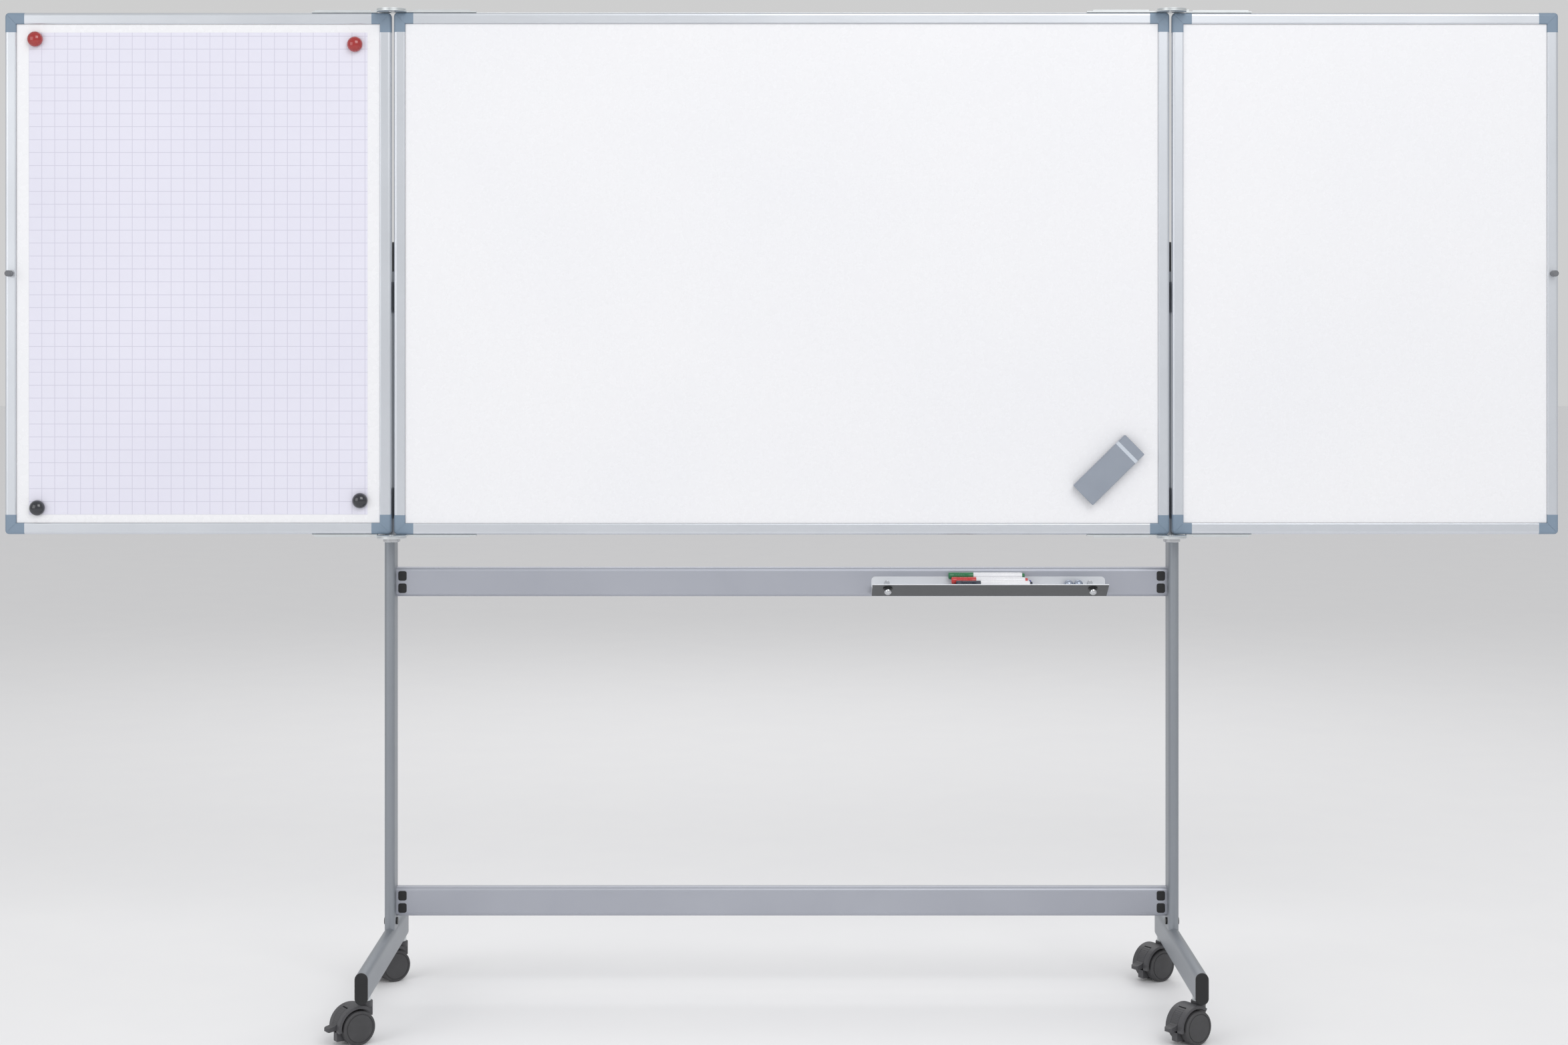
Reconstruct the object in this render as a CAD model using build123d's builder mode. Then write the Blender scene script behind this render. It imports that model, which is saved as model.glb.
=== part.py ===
from build123d import *
import os
from math import cos, hypot, radians, sin

# A mobile folding whiteboard: a fixed centre panel and two hinged wings, on a stand with castors.
# X runs to the reader's right, -Y faces the reader, Z is up and the floor is Z = 0.
# Sizes are in millimetres.

os.makedirs("parts", exist_ok=True)

# --- Driving dimensions: panels -----------------------------------------------------------
centre_width = 1500.0
wing_width = 747.0
panel_height = 1010.0
panel_bottom = 901.0
panel_depth = 20.0
wing_drop = 0.8  # a wing is this much lower at the top, and higher at the bottom
hinge_gap = 5.0  # between the centre panel and a wing
frame_width = 22.0
frame_lip = 4.6
frame_web = 9.7
frame_round = 6.0
lip_round = 2.5
corner_leg = 38.0
corner_round = 7.5
crease_width = 0.7
crease_depth = 0.4
core_gap = 0.3
sheet_thickness = 0.6
sheet_gap = 0.3

# --- Driving dimensions: stand ------------------------------------------------------------
foot_front = 360.0  # foot's reach in front of the column's axis
foot_rear = 150.0  # foot's reach behind it
foot_width = 24.0
foot_height = 58.0
tube_wall = 2.0
column_width = 20.0
column_depth = 55.0
column_lap = 509.0  # how far the column stands up behind the panel
cap_plate = 3.0
cap_fin = 6.5
cap_fin_height = 55.0
cap_fin_round = 8.0
plug_depth = 12.0
plug_gap = 0.15
bar_height = 57.0
bar_depth = 25.0
bar_round = 8.0
bar_lead = 1.0  # bar's front in front of the column's axis
upper_bar_drop = 68.0  # from the panel's bottom down to the upper bar's top
lower_bar_rise = 18.0  # from the foot's top up to the lower bar's bottom
bar_end = 24.0
bar_spigot = 20.0
cover_width = 16.0  # black plugs on the bar ends
cover_height = 18.5
cover_pitch = 24.0
cover_round = 4.0
cover_proud = 1.6
cover_neck = 6.0
cover_lip = 2.0
bolt_cover_radius = 7.0  # round plugs at the foot of each column
bolt_cover_proud = 3.0
bolt_hole_radius = 4.0
bolt_rise = 9.5  # above the foot's top
bracket_thickness = 2.0
bracket_height = 60.0
bracket_reach = 40.0
bracket_rises = (29.0, 429.0)  # from the panel's bottom up to each bracket
screw_radius = 2.5
screw_head_radius = 4.5
screw_head = 2.0
screw_gap = 0.2

# --- Driving dimensions: hinges -----------------------------------------------------------
pivot_lead = 8.0  # hinge axis in front of the frames
eye_radius = 28.5
plate_thickness = 2.5
plate_width = 17.0
plate_gap = 0.3
centre_arm = 162.0
wing_arm = 156.0
joggle_start = 30.0
joggle_end = 35.0
rib_start = 42.0
rib_end = 150.0
rib_thickness = 2.0
rib_height = 2.6
pivot_radius = 5.0
running_gap = 0.05
pivot_head_radius = 7.0
pivot_head = 1.2
bush_radius = 16.5
bush_height = 7.0
buffer_radius = 6.0
buffer_height = 19.0

# --- Driving dimensions: castors ----------------------------------------------------------
wheel_radius = 31.0
wheel_inner = 8.0  # wheel's inner face from the castor's middle plane
wheel_width = 18.0
wheel_hub_floor = 5.7
axle_radius = 4.0
axle_gap = 0.3
castor_trail = 22.0
castor_heading = 214.7  # direction in which the wheels trail, in degrees from +X
front_stem_inset = 45.0
rear_stem_inset = 25.0
stem_radius = 5.0
stem_collar_radius = 11.0
stem_collar = 2.0
stem_rise = 34.0  # inside the foot
stem_sink = 22.7  # inside the hood
neck_radius = 13.0
neck_rise = 11.7  # above the wheels
fender_gap = 3.0
fender_wall = 5.5
fender_half = 21.0
fender_start = -8.0
fender_end = 128.0
web_half = 7.0
web_gap = 1.0  # web's edge outside the wheel's radius
hub_round = 20.0
nose_start = 14.0
nose_end = 37.0
nose_bottom = 8.0
nose_height = 16.0
neck_block = 27.0  # depth of the block that carries the stem
lever_half = 9.0
lever_slot_gap = 0.5
lever_inset = 0.8
lever_start = 12.0
lever_end = 62.0
lever_slot_end = 66.0
lever_reach = 18.0
tongue_thickness = 7.5
tongue_droop = 3.5
tongue_round = 10.0  # seen from above; more than the lever's half width
tongue_flat = 0.4  # the rounding starts this far outside the tip
lever_pin_angle = 60.0
lever_pin_radius = 1.3
lever_pin_reach = 3.0

# --- Driving dimensions: tray and its contents --------------------------------------------
tray_length = 456.0
tray_inset = 97.0  # from the bar end's fitting
tray_wall = 1.5
tray_rise = 4.0  # above the bar's bottom
tray_back = 35.5
tray_floor = 17.0
tray_lip = 26.0
tray_foot_depth = 23.0
tray_reach = 66.0
tray_corner = 8.0
knob_inset = 30.0
knob_collar_radius = 9.0
knob_collar = 2.0
knob_radius = 7.3
knob_reach = 6.0  # ball's centre in front of the slope
knob_drop = 8.0  # below the lip
tray_screw_radius = 5.4
tray_screw_head = 1.8
tray_screw_rise = 22.6
marker_radius = 6.8
marker_barrel_radius = 6.5
marker_tail_radius = 4.8
marker_length = 148.0
marker_cap = 48.0
marker_tail = 5.0
marker_gap = 0.2
marker_spread = 25.0  # between the two markers that lie on the tray's floor
tray_magnet_radius = 9.0
tray_magnet_height = 14.0
tray_magnet_pitch = 19.0
tray_magnet_inset = 63.5

# --- Driving dimensions: what hangs on the panels -----------------------------------------
paper_width = 655.0
paper_full_height = 932.0
paper_margin = 39.0  # least distance from the panel's top and bottom edge
paper_thickness = 0.4
magnet_radius = 15.0
magnet_height = 17.0
magnet_insets = ((-1, 1, 13.0, 13.0), (1, 1, 24.0, 23.0), (-1, -1, 17.0, 13.0), (1, -1, 14.0, 27.0))
eraser_length = 140.0
eraser_width = 53.0
eraser_felt = 7.0
eraser_cover = 12.0
eraser_wall = 1.2
eraser_turn = 44.5
eraser_inset = (119.0, 126.0)  # from the centre panel's lower right corner

# --- Places that follow from the dimensions above -----------------------------------------
column_y = (foot_front - foot_rear) / 2
column_face = centre_width / 2 + bracket_thickness
column_x = column_face + column_width / 2
foot_front_y = column_y - foot_front
foot_rear_y = column_y + foot_rear
neck_top = 2 * wheel_radius + neck_rise
foot_bottom = neck_top + plate_gap + stem_collar
foot_mid = foot_bottom + foot_height / 2
foot_top = foot_bottom + foot_height
board_back = column_y - column_depth / 2 - bracket_thickness
board_front = board_back - panel_depth
sheet_front = board_front + frame_lip - sheet_thickness
panel_mid = panel_bottom + panel_height / 2
panel_top = panel_bottom + panel_height
wing_height = panel_height - 2 * wing_drop
wing_x = centre_width / 2 + hinge_gap + wing_width / 2
pivot_x = centre_width / 2 + hinge_gap / 2
pivot_y = board_front - pivot_lead
column_top = panel_bottom + column_lap
bar_front = column_y - bar_lead
bar_half = column_face - bar_end
upper_bar_bottom = panel_bottom - upper_bar_drop - bar_height
bar_mids = (upper_bar_bottom + bar_height / 2, foot_top + lower_bar_rise + bar_height / 2)
bolt_z = foot_top + bolt_rise
bracket_mids = [panel_bottom + rise + bracket_height / 2 for rise in bracket_rises]
bracket_screw_steps = (-bracket_height / 4, bracket_height / 4)
stem_ys = (foot_front_y + front_stem_inset, foot_rear_y - rear_stem_inset)


def keep(piece, name):
    """Label a finished piece and write its file."""
    piece.part.label = name
    export_step(piece.part, f"parts/{name}.step")


def facing(y):
    """A front-facing plane at depth y: its own x is X and its own y is Z."""
    return Plane.XZ.offset(-y)


# ============================ Stand =======================================================
def foot_block(side):
    """The foot's outer shape, for notching what stands on it or hangs from it."""
    with BuildPart(mode=Mode.PRIVATE) as block:
        with BuildSketch(facing(foot_front_y)):
            with Locations((side * column_x, foot_mid)):
                SlotOverall(foot_height, foot_width, rotation=90)
        extrude(amount=-(foot_front + foot_rear))
    return block.part


foot_blocks = {side: foot_block(side) for side in (-1, 1)}

for side, name in ((-1, "foot_left"), (1, "foot_right")):
    with BuildPart() as foot:
        with BuildSketch(facing(foot_front_y + cap_plate)):
            with Locations((side * column_x, foot_mid)):
                SlotOverall(foot_height, foot_width, rotation=90)
                SlotOverall(
                    foot_height - 2 * tube_wall,
                    foot_width - 2 * tube_wall,
                    rotation=90,
                    mode=Mode.SUBTRACT,
                )
        extrude(amount=-(foot_front + foot_rear - 2 * cap_plate))
        with BuildSketch(Plane.XY.offset(foot_bottom - tube_wall)):
            for stem_y in stem_ys:
                with Locations((side * column_x, stem_y)):
                    Circle(stem_radius)
        extrude(amount=foot_height / 2, mode=Mode.SUBTRACT)
    keep(foot, name)

with BuildPart() as foot_end_caps:
    for end_y, inwards in ((foot_front_y, -1), (foot_rear_y, 1)):
        for side in (-1, 1):
            with BuildSketch(facing(end_y)):
                with Locations((side * column_x, foot_mid)):
                    SlotOverall(foot_height, foot_width, rotation=90)
            extrude(amount=inwards * cap_plate)
            with BuildSketch(facing(end_y)):
                with Locations((side * column_x, foot_mid)):
                    SlotOverall(
                        foot_height - 2 * (tube_wall + plug_gap),
                        foot_width - 2 * (tube_wall + plug_gap),
                        rotation=90,
                    )
            extrude(amount=inwards * (cap_plate + plug_depth))
    outer_faces = foot_end_caps.faces().filter_by(Axis.Y).group_by(Axis.Y)
    chamfer(outer_faces[0].edges() + outer_faces[-1].edges(), 1)
keep(foot_end_caps, "foot_end_caps")

for side, name in ((-1, "column_left"), (1, "column_right")):
    with BuildPart() as column:
        with BuildSketch(Plane.XY.offset(foot_mid)):
            with Locations((side * column_x, column_y)):
                SlotOverall(column_depth, column_width, rotation=90)
                SlotOverall(
                    column_depth - 2 * tube_wall,
                    column_width - 2 * tube_wall,
                    rotation=90,
                    mode=Mode.SUBTRACT,
                )
        extrude(amount=column_top - foot_mid)
        add(foot_blocks[side], mode=Mode.SUBTRACT)
        with BuildSketch(Plane.YZ.offset(side * column_x)):
            with Locations((column_y, bolt_z)):
                Circle(bolt_hole_radius)
        extrude(amount=column_width, both=True, mode=Mode.SUBTRACT)
        with BuildSketch(Plane.YZ.offset(side * column_x)):
            for level in bracket_mids:
                for step in bracket_screw_steps:
                    with Locations((column_y, level + step)):
                        Circle(screw_radius)
        extrude(amount=-side * column_width, mode=Mode.SUBTRACT)
    keep(column, name)

# Each cap closes the tube's top and carries an upright fin in the gap behind the hinge.
with BuildPart() as column_caps:
    with BuildSketch(Plane.XY.offset(column_top)):
        with Locations((-column_x, column_y)):
            SlotOverall(column_depth, column_width, rotation=90)
    extrude(amount=cap_plate)
    with BuildSketch(Plane.XY.offset(column_top + cap_plate)):
        with Locations((-column_x, column_y)):
            SlotOverall(
                column_depth - 2 * (tube_wall + plug_gap),
                column_width - 2 * (tube_wall + plug_gap),
                rotation=90,
            )
    extrude(amount=-(cap_plate + plug_depth))
    with BuildSketch(Plane.YZ.offset(-column_face - cap_fin)):
        with Locations((column_y, column_top + cap_plate + (cap_fin_height - cap_fin_round) / 2)):
            RectangleRounded(column_depth - column_width, cap_fin_height + cap_fin_round, cap_fin_round)
        with Locations((column_y, column_top + cap_plate - cap_fin_height / 2)):
            Rectangle(column_depth, cap_fin_height, mode=Mode.SUBTRACT)
    extrude(amount=cap_fin)
    mirror(about=Plane.YZ)
keep(column_caps, "column_caps")


def bar_outline(mid_z, shrink):
    """A crossbar's rounded outline on the sketch in hand, smaller all round by shrink."""
    with Locations((bar_front + bar_depth / 2, mid_z)):
        RectangleRounded(bar_depth - 2 * shrink, bar_height - 2 * shrink, bar_round - shrink)


for mid_z, name in zip(bar_mids, ("crossbar_upper", "crossbar_lower")):
    with BuildPart() as crossbar:
        with BuildSketch(Plane.YZ.offset(-bar_half)):
            bar_outline(mid_z, 0)
        extrude(amount=2 * bar_half)
        with BuildSketch(Plane.YZ.offset(-bar_half)):
            bar_outline(mid_z, tube_wall)
        extrude(amount=2 * bar_half, mode=Mode.SUBTRACT)
    keep(crossbar, name)

# Fittings between the bars and the columns, each with a spigot in the bar and two pockets.
with BuildPart() as crossbar_ends:
    for mid_z in bar_mids:
        with BuildSketch(Plane.YZ.offset(-column_face)):
            bar_outline(mid_z, 0)
        extrude(amount=bar_end)
        with BuildSketch(Plane.YZ.offset(-column_face)):
            bar_outline(mid_z, tube_wall + plug_gap)
        extrude(amount=bar_end + bar_spigot)
        with BuildSketch(facing(bar_front)):
            with Locations((-column_face + bar_end / 2, mid_z)):
                with GridLocations(cover_pitch, cover_pitch, 1, 2):
                    RectangleRounded(
                        cover_width - cover_lip, cover_height - cover_lip, cover_round - cover_lip / 2
                    )
        extrude(amount=-(cover_neck + 1), mode=Mode.SUBTRACT)
    mirror(about=Plane.YZ)
keep(crossbar_ends, "crossbar_ends")

# Black plugs: two on the front of each bar end, and a round one on each side of each column.
with BuildPart() as stand_plugs:
    for mid_z in bar_mids:
        with BuildSketch(facing(bar_front)):
            with Locations((-column_face + bar_end / 2, mid_z)):
                with GridLocations(cover_pitch, cover_pitch, 1, 2):
                    RectangleRounded(cover_width, cover_height, cover_round)
        extrude(amount=cover_proud)
        with BuildSketch(facing(bar_front)):
            with Locations((-column_face + bar_end / 2, mid_z)):
                with GridLocations(cover_pitch, cover_pitch, 1, 2):
                    RectangleRounded(
                        cover_width - cover_lip - 2 * plug_gap,
                        cover_height - cover_lip - 2 * plug_gap,
                        cover_round - cover_lip / 2 - plug_gap,
                    )
        extrude(amount=-cover_neck)
    for outwards in (-1, 1):
        column_side = Plane.YZ.offset(-column_x + outwards * column_width / 2)
        with BuildSketch(column_side):
            with Locations((column_y, bolt_z)):
                Circle(bolt_cover_radius)
        extrude(amount=outwards * bolt_cover_proud)
        with BuildSketch(column_side):
            with Locations((column_y, bolt_z)):
                Circle(bolt_hole_radius - plug_gap)
        extrude(amount=-outwards * tube_wall)
    fronts = stand_plugs.faces().filter_by(Axis.Y).group_by(Axis.Y)[0]
    chamfer(fronts.edges(), 0.6)
    mirror(about=Plane.YZ)
keep(stand_plugs, "stand_plugs")

# L-brackets: one leaf on the column's inner side, the other behind the centre panel's stile.
stile_screw_x = centre_width / 2 - frame_width / 2
with BuildPart() as board_brackets:
    for level in bracket_mids:
        with BuildSketch(Plane.XY.offset(level - bracket_height / 2)):
            with BuildLine():
                Polyline(
                    (-column_face, board_back),
                    (-column_face + bracket_reach, board_back),
                    (-column_face + bracket_reach, board_back + bracket_thickness),
                    (-column_face + bracket_thickness, board_back + bracket_thickness),
                    (-column_face + bracket_thickness, column_y + column_depth / 4),
                    (-column_face, column_y + column_depth / 4),
                    close=True,
                )
            make_face()
        extrude(amount=bracket_height)
    with BuildSketch(Plane.YZ.offset(-column_face)):
        for level in bracket_mids:
            for step in bracket_screw_steps:
                with Locations((column_y, level + step)):
                    Circle(screw_radius + screw_gap)
    extrude(amount=bracket_thickness, mode=Mode.SUBTRACT)
    with BuildSketch(facing(board_back)):
        for level in bracket_mids:
            for step in bracket_screw_steps:
                with Locations((-stile_screw_x, level + step)):
                    Circle(screw_radius + screw_gap)
    extrude(amount=-bracket_thickness, mode=Mode.SUBTRACT)
    mirror(about=Plane.YZ)
keep(board_brackets, "board_brackets")

with BuildPart() as board_screws:
    for level in bracket_mids:
        for step in bracket_screw_steps:
            with BuildSketch(Plane.YZ.offset(-column_face + bracket_thickness)):
                with Locations((column_y, level + step)):
                    Circle(screw_head_radius)
            extrude(amount=screw_head)
            with BuildSketch(Plane.YZ.offset(-column_face + bracket_thickness)):
                with Locations((column_y, level + step)):
                    Circle(screw_radius)
            extrude(amount=-(bracket_thickness + tube_wall))
            with BuildSketch(facing(board_back + bracket_thickness)):
                with Locations((-stile_screw_x, level + step)):
                    Circle(screw_head_radius)
            extrude(amount=-screw_head)
            with BuildSketch(facing(board_back + bracket_thickness)):
                with Locations((-stile_screw_x, level + step)):
                    Circle(screw_radius)
            extrude(amount=bracket_thickness + frame_lip - core_gap)
    mirror(about=Plane.YZ)
keep(board_screws, "board_screws")


# ============================ Panels ======================================================
def panel(prefix, x_mid, width, height, screw_xs):
    """One panel: rails and stiles, corner pieces, front and back sheets, and the core."""
    with BuildPart() as ring:
        with BuildSketch(facing(board_back)):
            with Locations((x_mid, panel_mid)):
                RectangleRounded(width, height, corner_round)
                Rectangle(width - 2 * frame_width, height - 2 * frame_width, mode=Mode.SUBTRACT)
        extrude(amount=panel_depth)
        ends = ring.faces().filter_by(Axis.Y).sort_by(Axis.Y)
        fillet(ends[0].outer_wire().edges() + ends[-1].outer_wire().edges(), frame_round)
        ends = ring.faces().filter_by(Axis.Y).sort_by(Axis.Y)
        fillet(ends[0].inner_wires()[0].edges() + ends[-1].inner_wires()[0].edges(), lip_round)
        with BuildSketch(facing(board_back - frame_lip)):
            with Locations((x_mid, panel_mid)):
                Rectangle(width - 2 * frame_web, height - 2 * frame_web)
        extrude(amount=panel_depth - 2 * frame_lip, mode=Mode.SUBTRACT)

    with BuildPart() as frame:
        add(ring.part)
        with BuildSketch(facing(board_back)):
            with Locations((x_mid, panel_mid)):
                with GridLocations(width - corner_leg, height - corner_leg, 2, 2):
                    Rectangle(corner_leg, corner_leg)
        extrude(amount=panel_depth, mode=Mode.SUBTRACT)
        for screw_x in screw_xs:
            with BuildSketch(facing(board_back)):
                for level in bracket_mids:
                    for step in bracket_screw_steps:
                        with Locations((screw_x, level + step)):
                            Circle(screw_radius)
            extrude(amount=frame_lip, mode=Mode.SUBTRACT)
    keep(frame, f"{prefix}_frame")

    with BuildPart() as corners:
        add(ring.part)
        with BuildSketch(facing(board_back)):
            with Locations((x_mid, panel_mid)):
                Rectangle(width - 2 * corner_leg, height)
                Rectangle(width, height - 2 * corner_leg)
        extrude(amount=panel_depth, mode=Mode.SUBTRACT)
        with BuildSketch(facing(board_front)):
            for right in (-1, 1):
                for up in (-1, 1):
                    crease_x = x_mid + right * (width - frame_width) / 2
                    crease_z = panel_mid + up * (height - frame_width) / 2
                    with Locations((crease_x, crease_z)):
                        Rectangle(2 * frame_width, crease_width, rotation=45 * right * up)
        extrude(amount=-crease_depth, mode=Mode.SUBTRACT)
    keep(corners, f"{prefix}_corners")

    with BuildPart() as sheets:
        for sheet_back in (sheet_front + sheet_thickness, board_back - frame_lip + sheet_thickness):
            with BuildSketch(facing(sheet_back)):
                with Locations((x_mid, panel_mid)):
                    Rectangle(
                        width - 2 * (frame_width + sheet_gap),
                        height - 2 * (frame_width + sheet_gap),
                    )
            extrude(amount=sheet_thickness)
    keep(sheets, f"{prefix}_sheets")

    with BuildPart() as core:
        with BuildSketch(facing(board_back - frame_lip)):
            with Locations((x_mid, panel_mid)):
                Rectangle(
                    width - 2 * (frame_web + core_gap),
                    height - 2 * (frame_web + core_gap),
                )
        extrude(amount=panel_depth - 2 * frame_lip)
    keep(core, f"{prefix}_core")


panel("centre", 0.0, centre_width, panel_height, (-stile_screw_x, stile_screw_x))
panel("left", -wing_x, wing_width, wing_height, ())
panel("right", wing_x, wing_width, wing_height, ())

# ============================ Hinges ======================================================
wing_top = panel_top - wing_drop
eye_z = panel_top + plate_thickness + plate_gap  # underside of a wing plate's eye
arm_y = (board_front + board_back) / 2


def arm(side, outwards, start, end):
    """A strip of a hinge plate between two distances from the pivot; outwards is +1 on a wing."""
    with Locations((side * (pivot_x + outwards * (start + end) / 2), arm_y)):
        Rectangle(end - start, plate_width)


def rib(side, outwards):
    """The turned-up front edge that stiffens a hinge plate."""
    rib_x = side * (pivot_x + outwards * (rib_start + rib_end) / 2)
    with Locations((rib_x, arm_y - plate_width / 2 + rib_thickness / 2)):
        Rectangle(rib_end - rib_start, rib_thickness)


with BuildPart() as centre_hinge_plates:
    with BuildSketch(Plane.XY.offset(panel_top)):
        with Locations((-pivot_x, pivot_y)):
            Circle(eye_radius)
        arm(-1, -1, 0, centre_arm)
        with Locations((-pivot_x, pivot_y)):
            Circle(pivot_radius, mode=Mode.SUBTRACT)
    extrude(amount=plate_thickness)
    with BuildSketch(Plane.XY.offset(panel_top + plate_thickness)):
        rib(-1, -1)
    extrude(amount=rib_height)
    mirror(about=Plane.XY.offset(panel_mid))
    mirror(about=Plane.YZ)
keep(centre_hinge_plates, "centre_hinge_plates")

for side, name in ((-1, "left_hinge_plates"), (1, "right_hinge_plates")):
    with BuildPart() as wing_plates:
        with BuildSketch(Plane.XY.offset(wing_top)):
            arm(side, 1, joggle_start, wing_arm)
        extrude(amount=plate_thickness)
        with BuildSketch(Plane.XY.offset(wing_top)):
            arm(side, 1, joggle_start, joggle_end)
        extrude(amount=eye_z + plate_thickness - wing_top)
        with BuildSketch(Plane.XY.offset(eye_z)):
            with Locations((side * pivot_x, pivot_y)):
                Circle(eye_radius)
            arm(side, 1, 0, joggle_end)
            with Locations((side * pivot_x, pivot_y)):
                Circle(pivot_radius + running_gap, mode=Mode.SUBTRACT)
        extrude(amount=plate_thickness)
        with BuildSketch(Plane.XY.offset(wing_top + plate_thickness)):
            rib(side, 1)
        extrude(amount=rib_height)
        mirror(about=Plane.XY.offset(panel_mid))
    keep(wing_plates, name)

# Pivots: a shaft through both eyes with a low head at each end, and a bush under each lower hinge.
head_z = eye_z + plate_thickness + plate_gap
with BuildPart() as hinge_pivots:
    with BuildSketch(Plane.XY.offset(panel_top - pivot_head)):
        with Locations((-pivot_x, pivot_y)):
            Circle(pivot_head_radius)
    extrude(amount=pivot_head)
    with BuildSketch(Plane.XY.offset(panel_top)):
        with Locations((-pivot_x, pivot_y)):
            Circle(pivot_radius)
    extrude(amount=head_z - panel_top)
    with BuildSketch(Plane.XY.offset(head_z)):
        with Locations((-pivot_x, pivot_y)):
            Circle(pivot_head_radius)
    extrude(amount=pivot_head)
    mirror(about=Plane.XY.offset(panel_mid))
    with BuildSketch(Plane.XY.offset(2 * panel_mid - head_z)):
        with Locations((-pivot_x, pivot_y)):
            Circle(bush_radius)
    extrude(amount=-bush_height)
    fillet(hinge_pivots.faces().sort_by(Axis.Z)[0].edges(), 1.5)
    mirror(about=Plane.YZ)
keep(hinge_pivots, "hinge_pivots")

# Buffers on the wings' outer stiles, which meet the centre sheet when a wing is folded.
buffer_x = wing_x + wing_width / 2 - frame_width / 2
for side, name in ((-1, "left_buffer"), (1, "right_buffer")):
    with BuildPart() as buffer:
        with BuildSketch(facing(board_front)):
            with Locations((side * buffer_x, panel_mid)):
                Circle(buffer_radius)
        extrude(amount=buffer_height)
        fillet(buffer.edges().group_by(Axis.Y)[0], 2)
    keep(buffer, name)

# ============================ Tray ========================================================
tray_x = bar_half - tray_inset - tray_length / 2
tray_bottom = upper_bar_bottom + tray_rise
tray_floor_z = tray_bottom + tray_floor
tray_back_y = bar_front - tray_wall
slope_foot_y = bar_front - tray_foot_depth
lip_y = bar_front - tray_reach
slope_run = slope_foot_y - lip_y
slope_length = hypot(slope_run, tray_lip)


def slope_inside_y(z):
    """Depth of the sloping front's inner surface at height z."""
    return slope_foot_y - (z - tray_bottom) * slope_run / tray_lip + tray_wall * slope_length / tray_lip


lip_inner = (lip_y + tray_wall * tray_lip / slope_length, tray_wall * slope_run / slope_length)
with BuildPart() as pen_tray:
    with BuildSketch(Plane.YZ.offset(tray_x - tray_length / 2)):
        with BuildLine():
            Polyline(
                (bar_front, tray_bottom + tray_back),
                (bar_front, tray_bottom),
                (slope_foot_y, tray_bottom),
                (lip_y, tray_bottom + tray_lip),
                (lip_inner[0], tray_bottom + tray_lip + lip_inner[1]),
                (slope_inside_y(tray_floor_z), tray_floor_z),
                (tray_back_y, tray_floor_z),
                (tray_back_y, tray_bottom + tray_back),
                close=True,
            )
        make_face()
    extrude(amount=tray_length)
    with BuildSketch(Plane.YZ.offset(tray_x - tray_length / 2)):
        with BuildLine():
            Polyline(
                (tray_back_y, tray_floor_z - tray_wall),
                (tray_back_y, tray_bottom + tray_wall),
                (slope_inside_y(tray_bottom + tray_wall), tray_bottom + tray_wall),
                (slope_inside_y(tray_floor_z - tray_wall), tray_floor_z - tray_wall),
                close=True,
            )
        make_face()
    extrude(amount=tray_length, mode=Mode.SUBTRACT)
    fillet(pen_tray.edges().filter_by(Axis.Y).group_by(Axis.Z)[-1], tray_corner)
keep(pen_tray, "pen_tray")

# Ball knobs on the sloping front, each on a round collar.
knob_xs = (tray_x - tray_length / 2 + knob_inset, tray_x + tray_length / 2 - knob_inset)
knob_foot = (lip_y + knob_drop * slope_run / tray_lip, tray_bottom + tray_lip - knob_drop)
knob_edge = (knob_radius**2 - (knob_reach - knob_collar) ** 2) ** 0.5
with BuildPart() as tray_knobs:
    for knob_x in knob_xs:
        slope_plane = Plane(
            origin=(knob_x, knob_foot[0], knob_foot[1]),
            x_dir=(1, 0, 0),
            z_dir=(0, -tray_lip, -slope_run),
        )
        with BuildSketch(slope_plane.rotated((90, 0, 0))):
            with BuildLine():
                collar = Polyline(
                    (0, knob_reach + knob_radius),
                    (0, 0),
                    (knob_collar_radius, 0),
                    (knob_collar_radius, knob_collar),
                    (knob_edge, knob_collar),
                )
                ThreePointArc(collar @ 1, (knob_radius, knob_reach), collar @ 0)
            make_face()
        revolve(axis=Axis(slope_plane.origin, slope_plane.z_dir))
keep(tray_knobs, "tray_knobs")

with BuildPart() as tray_screws:
    with BuildSketch(facing(tray_back_y)):
        for knob_x in knob_xs:
            with Locations((knob_x, tray_bottom + tray_screw_rise)):
                Circle(tray_screw_radius)
    extrude(amount=tray_screw_head)
    fillet(tray_screws.edges().group_by(Axis.Y)[0], 1)
keep(tray_screws, "tray_screws")

# Four markers in a heap: two on the floor, one between them and one on top at the back.
rest_distance = 2 * marker_radius + marker_gap
floor_z = tray_floor_z + marker_radius + marker_gap
back_marker = (tray_back_y - marker_radius - marker_gap, floor_z)
front_marker = (back_marker[0] - marker_spread, floor_z)
middle_rise = (rest_distance**2 - (marker_spread / 2) ** 2) ** 0.5
middle_marker = (back_marker[0] - marker_spread / 2, floor_z + middle_rise)
nest_rise = 3**0.5 / 2  # height of an even triangle, for the marker that lies on two others
top_marker = (
    back_marker[0] - marker_spread / 4 + nest_rise * middle_rise,
    floor_z + middle_rise / 2 + nest_rise * marker_spread / 2,
)
marker_places = (
    (top_marker, 150.0),
    (middle_marker, 155.0),
    (front_marker, 163.0),
    (back_marker, 163.0),
)
with BuildPart() as markers:
    for (marker_y, marker_z), start in marker_places:
        cap_plane = Plane.YZ.offset(tray_x - tray_length / 2 + start)
        for first, length, radius in (
            (0, marker_cap, marker_radius),
            (marker_cap, marker_length - marker_cap - marker_tail, marker_barrel_radius),
            (marker_length - marker_tail, marker_tail, marker_tail_radius),
        ):
            with BuildSketch(cap_plane.offset(first)):
                with Locations((marker_y, marker_z)):
                    Circle(radius)
            extrude(amount=length)
keep(markers, "markers")

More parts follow.
